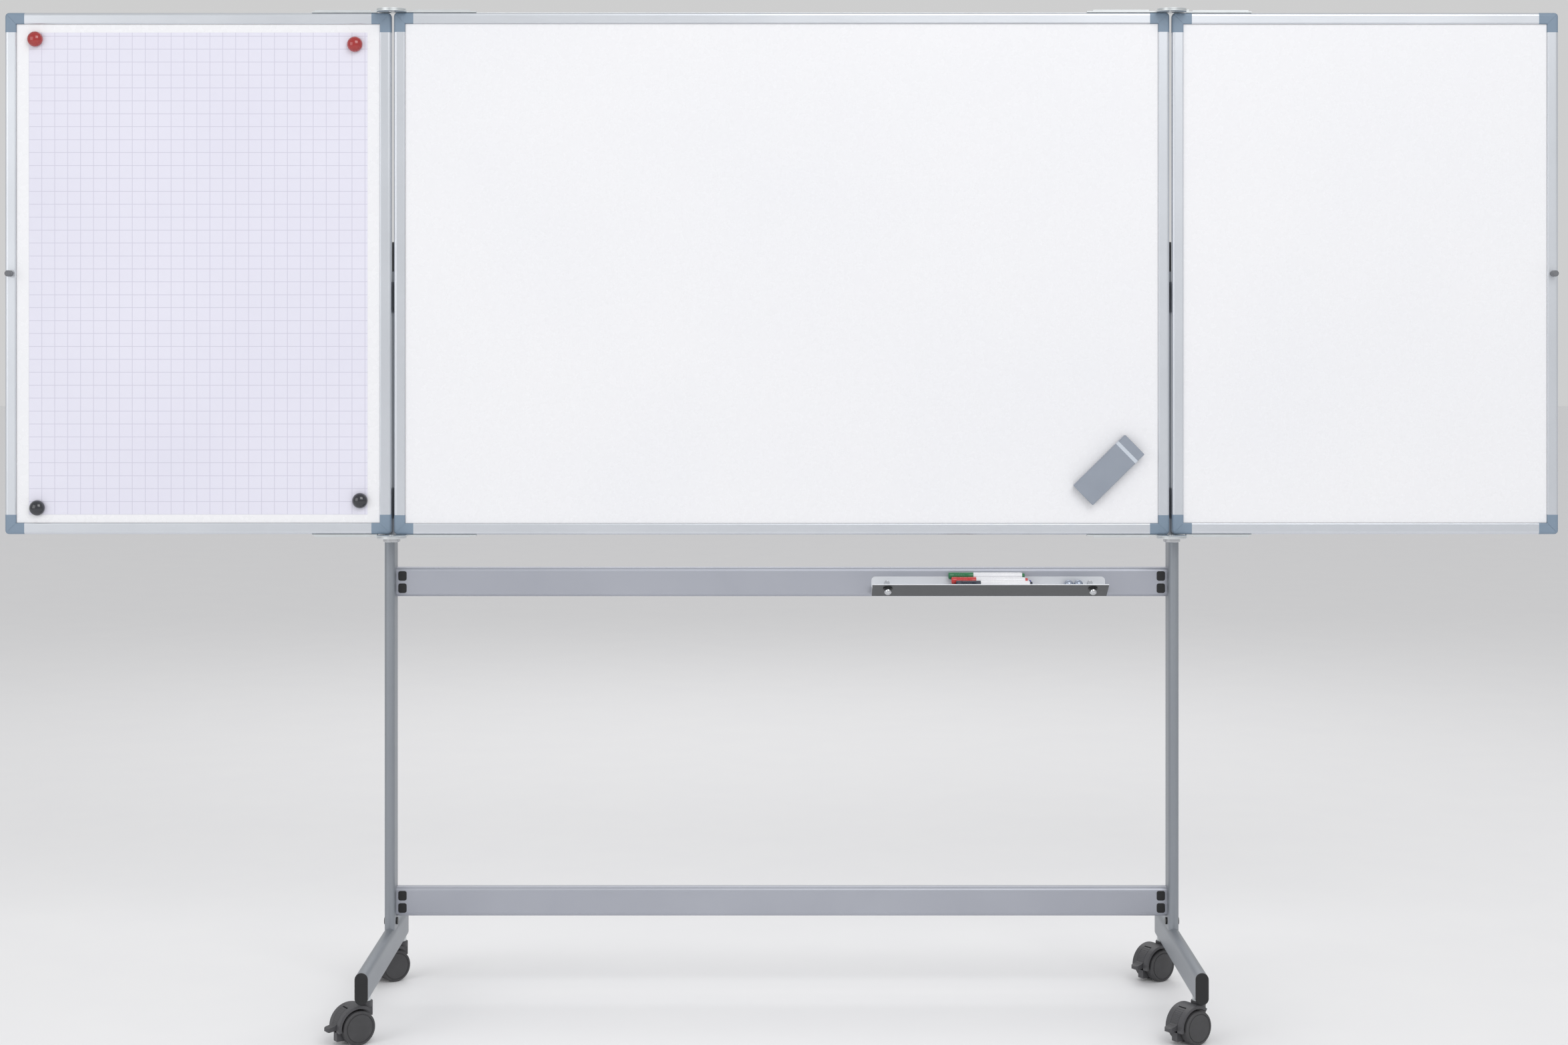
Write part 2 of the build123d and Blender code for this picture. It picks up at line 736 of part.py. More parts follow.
with BuildPart() as tray_magnets:
    magnet_x = tray_x + tray_length / 2 - tray_magnet_inset
    magnet_y = tray_back_y - 2 * tray_magnet_radius
    for step in (-tray_magnet_pitch / 2, tray_magnet_pitch / 2):
        with BuildSketch(Plane.XZ.offset(-magnet_y)):
            with BuildLine():
                dome_z = tray_floor_z + tray_magnet_height - tray_magnet_radius
                Polyline(
                    (magnet_x + step, tray_floor_z + tray_magnet_height),
                    (magnet_x + step, tray_floor_z),
                    (magnet_x + step + tray_magnet_radius, tray_floor_z),
                    (magnet_x + step + tray_magnet_radius, dome_z),
                )
                CenterArc((magnet_x + step, dome_z), tray_magnet_radius, 0, 90)
            make_face()
        revolve(axis=Axis((magnet_x + step, magnet_y, 0), (0, 0, 1)))
keep(tray_magnets, "tray_magnets")

# ============================ On the panels ===============================================
paper_height = min(paper_full_height, panel_height - 2 * paper_margin)
with BuildPart() as paper_sheet:
    with BuildSketch(facing(sheet_front)):
        with Locations((-wing_x, panel_mid)):
            Rectangle(paper_width, paper_height)
    extrude(amount=paper_thickness)
keep(paper_sheet, "paper_sheet")

paper_front = sheet_front - paper_thickness
with BuildPart() as ball_magnets:
    for right, up, inset_x, inset_z in magnet_insets:
        ball_x = -wing_x + right * (paper_width / 2 - inset_x)
        ball_z = panel_mid + up * (paper_height / 2 - inset_z)
        with BuildSketch(Plane.XY.offset(ball_z)):
            with BuildLine():
                Polyline(
                    (ball_x, paper_front - magnet_height),
                    (ball_x, paper_front),
                    (ball_x + magnet_radius, paper_front),
                    (ball_x + magnet_radius, paper_front - magnet_height + magnet_radius),
                )
                CenterArc((ball_x, paper_front - magnet_height + magnet_radius), magnet_radius, -90, 90)
            make_face()
        revolve(axis=Axis((ball_x, 0, ball_z), (0, 1, 0)))
keep(ball_magnets, "ball_magnets")

eraser_plane = Plane(
    origin=(centre_width / 2 - eraser_inset[0], sheet_front, panel_bottom + eraser_inset[1]),
    x_dir=(cos(radians(eraser_turn)), 0, sin(radians(eraser_turn))),
    z_dir=(0, -1, 0),
)
with BuildPart() as felt:
    with BuildSketch(eraser_plane):
        RectangleRounded(eraser_length - 2, eraser_width - 2, 1.5)
    extrude(amount=eraser_felt)
keep(felt, "eraser_felt")

with BuildPart() as cover:
    with BuildSketch(eraser_plane.offset(eraser_felt)):
        RectangleRounded(eraser_length, eraser_width, 2)
    extrude(amount=eraser_cover)
    chamfer(cover.faces().sort_by(Axis.Y)[0].edges(), 1)
    with BuildSketch(eraser_plane.offset(eraser_felt)):
        Rectangle(eraser_length - 2 * eraser_wall, eraser_width - 2 * eraser_wall)
    extrude(amount=eraser_cover - 2 * eraser_wall, mode=Mode.SUBTRACT)
keep(cover, "eraser_cover")

# ============================ Castors =====================================================
ahead = Vector(cos(radians(castor_heading)), sin(radians(castor_heading)), 0)
across = Vector(-ahead.Y, ahead.X, 0)
fender_inner = wheel_radius + fender_gap
fender_outer = fender_inner + fender_wall
web_radius = wheel_radius + web_gap
lever_inner = fender_inner + lever_inset
lever_pin_ring = (lever_inner + fender_outer) / 2
wheel_outer = wheel_inner + wheel_width
axle_half = wheel_outer - wheel_hub_floor - axle_gap
neck_height = neck_top - wheel_radius


def on_ring(radius, angle):
    """A point of the castor's side view, at an angle counted up from straight ahead."""
    return (radius * cos(radians(angle)), radius * sin(radians(angle)))


def ring_part(inner, outer, start, stop):
    """Part of a ring between two angles, drawn flat about the origin."""
    with BuildSketch(mode=Mode.PRIVATE) as ring:
        with BuildLine():
            far = CenterArc((0, 0), outer, start, stop - start)
            near = CenterArc((0, 0), inner, start, stop - start)
            Line(far @ 0, near @ 0)
            Line(far @ 1, near @ 1)
        make_face()
    return ring.sketch


def castor(name, side, stem_y):
    """One twin-wheel castor: hood, axle, brake lever and two wheels."""
    stem = Vector(side * column_x, stem_y, 0)
    axle_point = stem + ahead * castor_trail + Vector(0, 0, wheel_radius)
    side_view = Plane(origin=axle_point, x_dir=ahead, z_dir=-across)
    end_view = Plane(origin=axle_point, x_dir=across, z_dir=ahead)
    pin_point = on_ring(lever_pin_ring, lever_pin_angle)

    with BuildPart() as hood:
        with BuildSketch(side_view):
            add(ring_part(fender_inner, fender_outer, fender_start, fender_end))
        extrude(amount=fender_half, both=True)
        with BuildSketch(side_view):
            add(ring_part(fender_inner - 1, fender_outer + 1, fender_start - 10, lever_slot_end))
        extrude(amount=lever_half + lever_slot_gap, both=True, mode=Mode.SUBTRACT)
        with BuildSketch(side_view):
            add(ring_part(hub_round / 2, web_radius, fender_start, fender_end))
            Circle(hub_round)
            with Locations(((nose_start + nose_end) / 2, nose_bottom + nose_height / 2 - wheel_radius)):
                Rectangle(nose_end - nose_start, nose_height)
            with Locations((-castor_trail, neck_height - neck_block / 2)):
                Rectangle(2 * neck_radius - 2, neck_block)
        extrude(amount=web_half, both=True)
        with BuildSketch(side_view):
            add(ring_part(web_radius - 1, fender_inner + 1, lever_slot_end, fender_end))
        extrude(amount=web_half, both=True)
        with BuildSketch(Plane.XY.offset(2 * wheel_radius + 1)):
            with Locations((stem.X, stem.Y)):
                Circle(neck_radius)
        extrude(amount=neck_rise - 1)
        with BuildSketch(Plane.XY.offset(neck_top)):
            with Locations((stem.X, stem.Y)):
                Circle(stem_radius + running_gap)
        extrude(amount=-(stem_sink + axle_gap), mode=Mode.SUBTRACT)
        with BuildSketch(side_view):
            Circle(axle_radius)
            with Locations(pin_point):
                Circle(lever_pin_radius + running_gap)
        extrude(amount=lever_half + lever_pin_reach + axle_gap, both=True, mode=Mode.SUBTRACT)
    keep(hood, f"{name}_hood")

    with BuildPart() as axle:
        with BuildSketch(side_view):
            Circle(axle_radius)
        extrude(amount=axle_half, both=True)
    keep(axle, f"{name}_axle")

    with BuildPart() as lever:
        with BuildSketch(side_view):
            add(ring_part(lever_inner, fender_outer, lever_start, lever_end))
            with BuildLine():
                root_in = on_ring(lever_inner, lever_start + 2)
                root_out = on_ring(fender_outer, lever_start + 2)
                tip = fender_outer + lever_reach
                nose_back = tip - tongue_thickness / 2
                underside = Polyline(root_in, (lever_inner, -1.5), (nose_back, -tongue_droop))
                nose = ThreePointArc(
                    underside @ 1,
                    (tip, tongue_thickness / 2 - tongue_droop),
                    (nose_back, tongue_thickness - tongue_droop),
                )
                Polyline(nose @ 1, (fender_outer + 3, tongue_thickness - 1), root_out, root_in)
            make_face()
        extrude(amount=lever_half, both=True)
        with BuildSketch(Plane(origin=axle_point, x_dir=ahead, z_dir=(0, 0, 1))):
            with Locations((tip, 0)):
                Rectangle(2 * lever_half, 3 * lever_half)
            with Locations((tip + tongue_flat - tongue_round, 0)):
                Circle(tongue_round, mode=Mode.SUBTRACT)
        extrude(amount=2 * tongue_thickness, both=True, mode=Mode.SUBTRACT)
        with BuildSketch(side_view):
            with Locations(pin_point):
                Circle(lever_pin_radius)
        extrude(amount=lever_half + lever_pin_reach, both=True)
    keep(lever, f"{name}_lever")

    for hand, letter in ((1, "a"), (-1, "b")):
        with BuildPart() as wheel:
            with BuildSketch(end_view):
                with BuildLine():
                    side_line = Polyline(
                        (hand * (axle_half + axle_gap), 0),
                        (hand * (axle_half + axle_gap), axle_radius + running_gap),
                        (hand * wheel_inner, axle_radius + running_gap),
                        (hand * wheel_inner, wheel_radius - 1),
                        (hand * (wheel_inner + 1), wheel_radius),
                        (hand * (wheel_outer - 3), wheel_radius),
                    )
                    edge = ThreePointArc(
                        side_line @ 1,
                        (hand * (wheel_outer - 0.9), wheel_radius - 0.9),
                        (hand * wheel_outer, wheel_radius - 3),
                    )
                    Polyline(
                        edge @ 1,
                        (hand * wheel_outer, wheel_radius - 4.5),
                        (hand * (wheel_outer - 1), wheel_radius - 5),
                        (hand * (wheel_outer - 1), wheel_radius - 6),
                        (hand * wheel_outer, wheel_radius - 6.5),
                        (hand * wheel_outer, 0),
                        (hand * (axle_half + axle_gap), 0),
                    )
                make_face()
            revolve(axis=Axis(axle_point, across))
        keep(wheel, f"{name}_wheel_{letter}")


for side, hand_name in ((-1, "left"), (1, "right")):
    for stem_y, end_name in zip(stem_ys, ("front", "rear")):
        castor(f"{end_name}_{hand_name}", side, stem_y)

# Castor stems stand in the feet; each collar is notched to the foot's rounded underside.
with BuildPart() as castor_stems:
    for side in (-1, 1):
        for stem_y in stem_ys:
            with BuildSketch(Plane.XY.offset(neck_top + plate_gap)):
                with Locations((side * column_x, stem_y)):
                    Circle(stem_collar_radius)
            extrude(amount=stem_collar + foot_width / 2)
    for side in (-1, 1):
        add(foot_blocks[side], mode=Mode.SUBTRACT)
    for side in (-1, 1):
        for stem_y in stem_ys:
            with BuildSketch(Plane.XY.offset(neck_top - stem_sink)):
                with Locations((side * column_x, stem_y)):
                    Circle(stem_radius)
            extrude(amount=stem_sink + plate_gap + stem_collar + stem_rise)
keep(castor_stems, "castor_stems")
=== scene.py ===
# %% [markdown]
# This lesson dresses a folding whiteboard on castors. The hard parts come finished from the
# frame, so most cells give a surface its real finish, and a few model the small soft or
# many-coloured things that one plain solid can't show.

# %% Load the frame
import bmesh
import bpy
from math import asin, cos, pi, radians, sin, tau
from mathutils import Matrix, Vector


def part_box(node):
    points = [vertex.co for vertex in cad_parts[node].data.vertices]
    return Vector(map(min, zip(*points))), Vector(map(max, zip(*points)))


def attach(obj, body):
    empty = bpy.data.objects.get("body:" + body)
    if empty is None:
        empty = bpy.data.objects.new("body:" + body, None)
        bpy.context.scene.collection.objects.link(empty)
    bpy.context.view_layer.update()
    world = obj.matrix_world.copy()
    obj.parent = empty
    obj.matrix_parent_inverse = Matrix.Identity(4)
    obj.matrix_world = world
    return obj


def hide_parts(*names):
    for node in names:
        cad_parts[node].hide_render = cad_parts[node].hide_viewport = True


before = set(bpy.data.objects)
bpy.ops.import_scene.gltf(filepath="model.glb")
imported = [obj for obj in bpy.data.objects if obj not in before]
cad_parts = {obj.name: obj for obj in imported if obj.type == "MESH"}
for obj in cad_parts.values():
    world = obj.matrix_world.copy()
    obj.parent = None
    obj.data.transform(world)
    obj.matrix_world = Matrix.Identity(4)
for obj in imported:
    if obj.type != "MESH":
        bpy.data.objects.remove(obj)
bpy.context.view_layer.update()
print("nodes:", len(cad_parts))


# %% [markdown]
# The camera stands in front of the board at eye height and looks straight ahead. Its lens is
# shifted down, as an architect's camera is, so the posts stay parallel.

# %% Camera
board_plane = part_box("centre_frame")[0].y
camera_distance = 4.95
eye_height = 1.340
camera_data = bpy.data.cameras.new("camera")
camera_data.lens = 58.8
camera_data.sensor_width = 36.0
camera_data.shift_x = 0.0015
camera_data.shift_y = -0.137
camera = bpy.data.objects.new("camera", camera_data)
camera.location = (0.0, board_plane - camera_distance, eye_height)
camera.rotation_euler = (pi / 2, 0.0, 0.0)
bpy.context.scene.collection.objects.link(camera)
bpy.context.scene.camera = camera
print("camera lens:", camera_data.lens, "mm at", camera_distance, "m")


# %% [markdown]
# Real surfaces are never one colour. A single node group mixes two close colours with noise,
# and gives a roughness and a height from the same noise. Stretching the noise along one
# direction turns the same group into drawn metal, so every finish below can share it.

# %% Shared group: surface variation
def new_group(name, inputs, outputs):
    """An empty shader node group with the sockets that are named."""
    group = bpy.data.node_groups.new(name, "ShaderNodeTree")
    for label, kind, value in inputs:
        socket = group.interface.new_socket(name=label, in_out="INPUT", socket_type=kind)
        socket.default_value = value
    for label, kind in outputs:
        group.interface.new_socket(name=label, in_out="OUTPUT", socket_type=kind)
    return group, group.nodes.new("NodeGroupInput"), group.nodes.new("NodeGroupOutput")


def map_range(tree, value, low, high):
    """A node that spreads a 0 to 1 value between two numbers or sockets."""
    node = tree.nodes.new("ShaderNodeMapRange")
    tree.links.new(value, node.inputs["Value"])
    for socket, end in ((node.inputs["To Min"], low), (node.inputs["To Max"], high)):
        if isinstance(end, float):
            socket.default_value = end
        else:
            tree.links.new(end, socket)
    return node.outputs["Result"]


def surface_group():
    """Two noises over Object coordinates: broad for colour, fine for roughness and height."""
    group, entry, exit_node = new_group(
        "surface_variation",
        [
            ("Colour", "NodeSocketColor", (0.5, 0.5, 0.5, 1)),
            ("Second", "NodeSocketColor", (0.4, 0.4, 0.4, 1)),
            ("Stretch", "NodeSocketVector", (1, 1, 1)),
            ("Broad scale", "NodeSocketFloat", 6.0),
            ("Fine scale", "NodeSocketFloat", 900.0),
            ("Roughness low", "NodeSocketFloat", 0.3),
            ("Roughness high", "NodeSocketFloat", 0.4),
        ],
        [("Colour", "NodeSocketColor"), ("Roughness", "NodeSocketFloat"), ("Height", "NodeSocketFloat")],
    )
    links = group.links
    place = group.nodes.new("ShaderNodeTexCoord")
    stretched = group.nodes.new("ShaderNodeVectorMath")
    stretched.operation = "MULTIPLY"
    links.new(place.outputs["Object"], stretched.inputs[0])
    links.new(entry.outputs["Stretch"], stretched.inputs[1])
    noises = []
    for scale, vector in (("Broad scale", place.outputs["Object"]), ("Fine scale", stretched.outputs[0])):
        noise = group.nodes.new("ShaderNodeTexNoise")
        noise.inputs["Detail"].default_value = 3.0
        links.new(vector, noise.inputs["Vector"])
        links.new(entry.outputs[scale], noise.inputs["Scale"])
        noises.append(noise.outputs["Fac"])
    mix = group.nodes.new("ShaderNodeMix")
    mix.data_type = "RGBA"
    links.new(noises[0], mix.inputs["Factor"])
    links.new(entry.outputs["Colour"], mix.inputs[6])
    links.new(entry.outputs["Second"], mix.inputs[7])
    links.new(mix.outputs[2], exit_node.inputs["Colour"])
    rough = map_range(group, noises[1], entry.outputs["Roughness low"], entry.outputs["Roughness high"])
    links.new(rough, exit_node.inputs["Roughness"])
    links.new(noises[1], exit_node.inputs["Height"])
    return group


surface_variation = surface_group()
print("shared group:", surface_variation.name)


# %% [markdown]
# Each finish is a Principled surface fed by that group. The maker below takes the two colours
# as they look on a screen and turns them into the linear values that the shader needs.

# %% A maker for finishes
def linear(colour):
    """A screen colour of 0 to 255 numbers as linear light, with alpha."""
    shares = [c / 255 for c in colour]
    return (*[s / 12.92 if s <= 0.04045 else ((s + 0.055) / 1.055) ** 2.4 for s in shares], 1.0)


def finish(name, colour, second, rough, metallic=0.0, stretch=(1, 1, 1), fine=900.0, broad=6.0,
           bump=0.05, coat=0.0):
    """A material with the shared variation: returns it with its shader and group nodes."""
    material = bpy.data.materials.new(name)
    material.use_nodes = True
    tree = material.node_tree
    shader = tree.nodes["Principled BSDF"]
    shader.inputs["Metallic"].default_value = metallic
    shader.inputs["Coat Weight"].default_value = coat
    shader.inputs["Coat Roughness"].default_value = 0.08
    body = tree.nodes.new("ShaderNodeGroup")
    body.node_tree = surface_variation
    body.inputs["Colour"].default_value = linear(colour)
    body.inputs["Second"].default_value = linear(second)
    body.inputs["Stretch"].default_value = stretch
    body.inputs["Broad scale"].default_value = broad
    body.inputs["Fine scale"].default_value = fine
    body.inputs["Roughness low"].default_value = rough[0]
    body.inputs["Roughness high"].default_value = rough[1]
    relief = tree.nodes.new("ShaderNodeBump")
    relief.inputs["Strength"].default_value = bump
    relief.inputs["Distance"].default_value = 0.0004
    tree.links.new(body.outputs["Colour"], shader.inputs["Base Color"])
    tree.links.new(body.outputs["Roughness"], shader.inputs["Roughness"])
    tree.links.new(body.outputs["Height"], relief.inputs["Height"])
    tree.links.new(relief.outputs["Normal"], shader.inputs["Normal"])
    return material, shader, body, relief


def dress(material, *nodes):
    """Put one material on CAD nodes."""
    for node in nodes:
        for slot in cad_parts[node].material_slots:
            slot.material = material


panels = ("centre", "left", "right")
castors = ("front_left", "front_right", "rear_left", "rear_right")
print("panels:", len(panels), "castors:", len(castors))


# %% [markdown]
# The rails and stiles are anodised aluminium extrusions. Drawing them through a die leaves
# faint lines along their length, which is noise stretched the other way round. The stand and
# the brackets that carry the board are powder coated, and the hinge plates are pale zinc.

# %% Aluminium, steel and powder coat
rail, *_ = finish("rail_aluminium", (222, 226, 232), (206, 210, 216), (0.30, 0.42), 0.75,
                  stretch=(0.05, 1, 1), fine=700.0, bump=0.08)
dress(rail, *[f"{p}_frame" for p in panels])
tube, *_ = finish("tube_powder_coat", (150, 155, 161), (139, 144, 151), (0.34, 0.48), 0.45,
                  fine=1600.0, bump=0.12)
dress(tube, "column_left", "column_right", "foot_left", "foot_right")
bar, *_ = finish("bar_powder_coat", (180, 183, 192), (168, 171, 181), (0.34, 0.48), 0.45,
                 fine=1600.0, bump=0.12)
dress(bar, "crossbar_upper", "crossbar_lower", "crossbar_ends", "board_brackets")
plate, *_ = finish("zinc_plate", (222, 226, 228), (206, 211, 212), (0.30, 0.45), 0.7,
                   stretch=(0.2, 1, 1), fine=500.0, broad=25.0, bump=0.06)
dress(plate, *[f"{p}_hinge_plates" for p in panels], "board_screws", "castor_stems")
bright, *_ = finish("bright_steel", (214, 216, 218), (196, 198, 202), (0.10, 0.20), 1.0,
                    fine=300.0, bump=0.02)
dress(bright, "hinge_pivots", "tray_screws", *[f"{c}_axle" for c in castors])
print("metals:", ", ".join(m.name for m in (rail, tube, bar, plate, bright)))


# %% [markdown]
# The plastics are blue-grey for the panel corners, near black for the caps and plugs, and
# charcoal for the castors. Moulded plastic has a fine spark-eroded grain, so its bump is
# stronger than the metal's and its gloss is low. The buffers are rubber. The core board is
# closed in by the rails and sheets, and has its own finish for when a panel is taken apart.

# %% Plastics and rubber
corner, *_ = finish("corner_plastic", (134, 152, 170), (120, 138, 157), (0.38, 0.50), fine=1800.0, bump=0.2)
dress(corner, *[f"{p}_corners" for p in panels])
black, *_ = finish("black_plastic", (26, 27, 29), (18, 19, 21), (0.36, 0.50), fine=1800.0, bump=0.25)
dress(black, "column_caps", "foot_end_caps", "stand_plugs")
hood_plastic, *_ = finish("castor_plastic", (82, 82, 85), (70, 70, 73), (0.42, 0.56), fine=1500.0,
                          broad=40.0, bump=0.3)
dress(hood_plastic, *[f"{c}_hood" for c in castors])
tread, *_ = finish("wheel_plastic", (72, 72, 74), (60, 60, 62), (0.46, 0.62), fine=1500.0,
                   broad=60.0, bump=0.3)
dress(tread, *[f"{c}_wheel_{w}" for c in castors for w in "ab"])
rubber, *_ = finish("buffer_rubber", (120, 122, 126), (104, 106, 110), (0.5, 0.65), fine=1200.0, bump=0.3)
dress(rubber, "left_buffer", "right_buffer")
core, *_ = finish("core_board", (176, 150, 116), (150, 124, 92), (0.7, 0.85), fine=400.0, bump=0.4)
dress(core, *[f"{p}_core" for p in panels])
print("plastics:", ", ".join(m.name for m in (corner, black, hood_plastic, tread)))


# %% [markdown]
# A brake lever is ribbed so that a shoe grips it. The ribs are a wave across its height, which
# joins the grain in the bump.

# %% Ribbed brake levers
lever, _, lever_body, lever_relief = finish("lever_plastic", (78, 78, 81), (66, 66, 69), (0.44, 0.58),
                                            fine=1500.0, bump=0.35)
ribs = lever.node_tree.nodes.new("ShaderNodeTexWave")
ribs.bands_direction = "Z"
ribs_scale, ribs_share = 110.0, 2.0
ribs.inputs["Scale"].default_value = ribs_scale
rib_place = lever.node_tree.nodes.new("ShaderNodeTexCoord")
rib_sum = lever.node_tree.nodes.new("ShaderNodeMath")
rib_sum.operation = "MULTIPLY_ADD"
rib_sum.inputs[1].default_value = ribs_share
lever.node_tree.links.new(rib_place.outputs["Object"], ribs.inputs["Vector"])
lever.node_tree.links.new(ribs.outputs["Fac"], rib_sum.inputs[0])
lever.node_tree.links.new(lever_body.outputs["Height"], rib_sum.inputs[2])
lever.node_tree.links.new(rib_sum.outputs[0], lever_relief.inputs["Height"])
dress(lever, *[f"{c}_lever" for c in castors])
print("levers:", len(castors))


# %% [markdown]
# The writing surface is enamelled steel: glass fused to metal. It is bright, and its colour
# drifts a little over half a metre. A coat gives it its gloss.

# %% Enamelled sheets
enamel, *_ = finish("board_enamel", (244, 244, 246), (238, 239, 243), (0.20, 0.34), fine=60.0,
                    broad=2.2, bump=0.03, coat=0.5)
dress(enamel, *[f"{p}_sheets" for p in panels])
print("enamelled sheets on", len(panels), "panels")


# %% [markdown]
# The tray is one extrusion with a pale finish. The slope in front and the underside look down, and their
# darker grey is painted shade: the surface's own normal picks out what looks down and darkens it.

# %% Tray
tray, tray_shader, tray_body, _ = finish(
    "tray_aluminium", (228, 230, 234), (216, 219, 224), (0.32, 0.44), 0.35, stretch=(0.05, 1, 1),
    fine=700.0, bump=0.08)
tray_links = tray.node_tree.links
tray_normal = tray.node_tree.nodes.new("ShaderNodeTexCoord")
tray_axes = tray.node_tree.nodes.new("ShaderNodeSeparateXYZ")
# Painted shade: faces whose normal looks down get the darker grey below.
looks_down_shade_mask = tray.node_tree.nodes.new("ShaderNodeMath")
looks_down_shade_mask.operation = "LESS_THAN"
looks_down = -0.4
looks_down_shade_mask.inputs[1].default_value = looks_down
painted_shade_mix = tray.node_tree.nodes.new("ShaderNodeMix")
painted_shade_mix.data_type = "RGBA"
# The grey of the painted shade on down-facing faces.
painted_shade_mix.inputs[7].default_value = linear((81, 83, 85))
tray_links.new(tray_normal.outputs["Normal"], tray_axes.inputs[0])
tray_links.new(tray_axes.outputs["Z"], looks_down_shade_mask.inputs[0])
tray_links.new(looks_down_shade_mask.outputs[0], painted_shade_mix.inputs["Factor"])
tray_links.new(tray_body.outputs["Colour"], painted_shade_mix.inputs[6])
tray_links.new(painted_shade_mix.outputs[2], tray_shader.inputs["Base Color"])
dress(tray, "pen_tray")
pearl, *_ = finish("tray_magnet_pearl", (150, 160, 180), (176, 184, 198), (0.18, 0.3), 0.6, fine=300.0,
                   broad=120.0, coat=0.4)
dress(pearl, "tray_magnets")
print("tray materials:", tray.name, pearl.name)


# %% [markdown]
# The eraser's cover is brushed metal. Near its upper end a lighter band is a painted highlight, standing in
# for light on a bevel step. The band is found by measuring along the eraser's own direction from its
# middle.

# %% Eraser
eraser_low, eraser_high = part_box("eraser_cover")
eraser_mid = (eraser_low + eraser_high) / 2
eraser_turn = radians(44.5)
eraser_along = Vector((cos(eraser_turn), 0, sin(eraser_turn)))
# Where the painted highlight band lies, measured along the eraser from its middle.
highlight_band_middle, highlight_band_half = 0.0485, 0.0035
eraser_metal, eraser_shader, eraser_body, _ = finish(
    "eraser_metal", (166, 174, 186), (152, 160, 173), (0.3, 0.42), 0.6, fine=600.0, broad=20.0, bump=0.1)
links = eraser_metal.node_tree.links
eraser_place = eraser_metal.node_tree.nodes.new("ShaderNodeTexCoord")
from_mid = eraser_metal.node_tree.nodes.new("ShaderNodeVectorMath")
from_mid.operation = "SUBTRACT"
from_mid.inputs[1].default_value = eraser_mid
along = eraser_metal.node_tree.nodes.new("ShaderNodeVectorMath")
along.operation = "DOT_PRODUCT"
along.inputs[1].default_value = eraser_along
highlight_band = eraser_metal.node_tree.nodes.new("ShaderNodeMath")
highlight_band.operation = "COMPARE"
highlight_band.inputs[1].default_value = highlight_band_middle
highlight_band.inputs[2].default_value = highlight_band_half
highlight_band_mix = eraser_metal.node_tree.nodes.new("ShaderNodeMix")
highlight_band_mix.data_type = "RGBA"
# The lighter colour of the painted highlight band.
highlight_band_mix.inputs[7].default_value = linear((214, 222, 232))
links.new(eraser_place.outputs["Object"], from_mid.inputs[0])
links.new(from_mid.outputs[0], along.inputs[0])
links.new(along.outputs["Value"], highlight_band.inputs[0])
links.new(highlight_band.outputs[0], highlight_band_mix.inputs["Factor"])
links.new(eraser_body.outputs["Colour"], highlight_band_mix.inputs[6])
links.new(highlight_band_mix.outputs[2], eraser_shader.inputs["Base Color"])
dress(eraser_metal, "eraser_cover")
felt, *_ = finish("eraser_felt", (90, 92, 98), (70, 72, 78), (0.85, 0.95), fine=2500.0, bump=0.9)
dress(felt, "eraser_felt")
print("eraser:", round((eraser_high - eraser_low).length, 3), "m across its box")


# %% [markdown]
# Magnets, knobs and markers are all turned shapes. One half outline, spun all the way round,
# makes each of them, so one helper does the spinning and places the piece.

# %% A maker for turned pieces
def turned(name, outline, origin, axis, material, body, slot, steps=40):
    """Spin (radius, height) points about an axis through origin, and ride on a body."""
    shape = bmesh.new()
    points = [shape.verts.new((radius, 0, height)) for radius, height in outline]
    edges = [shape.edges.new(pair) for pair in zip(points, points[1:])]
    bmesh.ops.spin(shape, geom=points + edges, cent=(0, 0, 0), axis=(0, 0, 1), angle=tau, steps=steps,
                   use_merge=True)
    bmesh.ops.remove_doubles(shape, verts=shape.verts, dist=1e-6)
    bmesh.ops.recalc_face_normals(shape, faces=shape.faces)
    turn = Vector((0, 0, 1)).rotation_difference(Vector(axis)).to_matrix()
    bmesh.ops.rotate(shape, verts=shape.verts, cent=(0, 0, 0), matrix=turn)
    bmesh.ops.translate(shape, verts=shape.verts, vec=origin)
    mesh = bpy.data.meshes.new(name)
    shape.to_mesh(mesh)
    shape.free()
    mesh.polygons.foreach_set("use_smooth", [True] * len(mesh.polygons))
    mesh.set_sharp_from_angle(angle=radians(35))
    mesh.materials.append(material)
    piece = bpy.data.objects.new(name, mesh)
    bpy.context.scene.collection.objects.link(piece)
    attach(piece, body)
    return piece


def round_end(radius, base, top, steps=8):
    """Outline points of a quarter ellipse from the rim at base to the axis at top."""
    angles = [pi / 2 * step / steps for step in range(steps)]
    return [(radius * cos(a), base + (top - base) * sin(a)) for a in angles] + [(0.0, top)]


print("helpers:", turned.__name__, round_end.__name__)


# %% [markdown]
# Four ball magnets hold the paper, two red above and two black below. Each is a domed body on a
# slightly narrower foot, and stands where the paper's corner puts it.

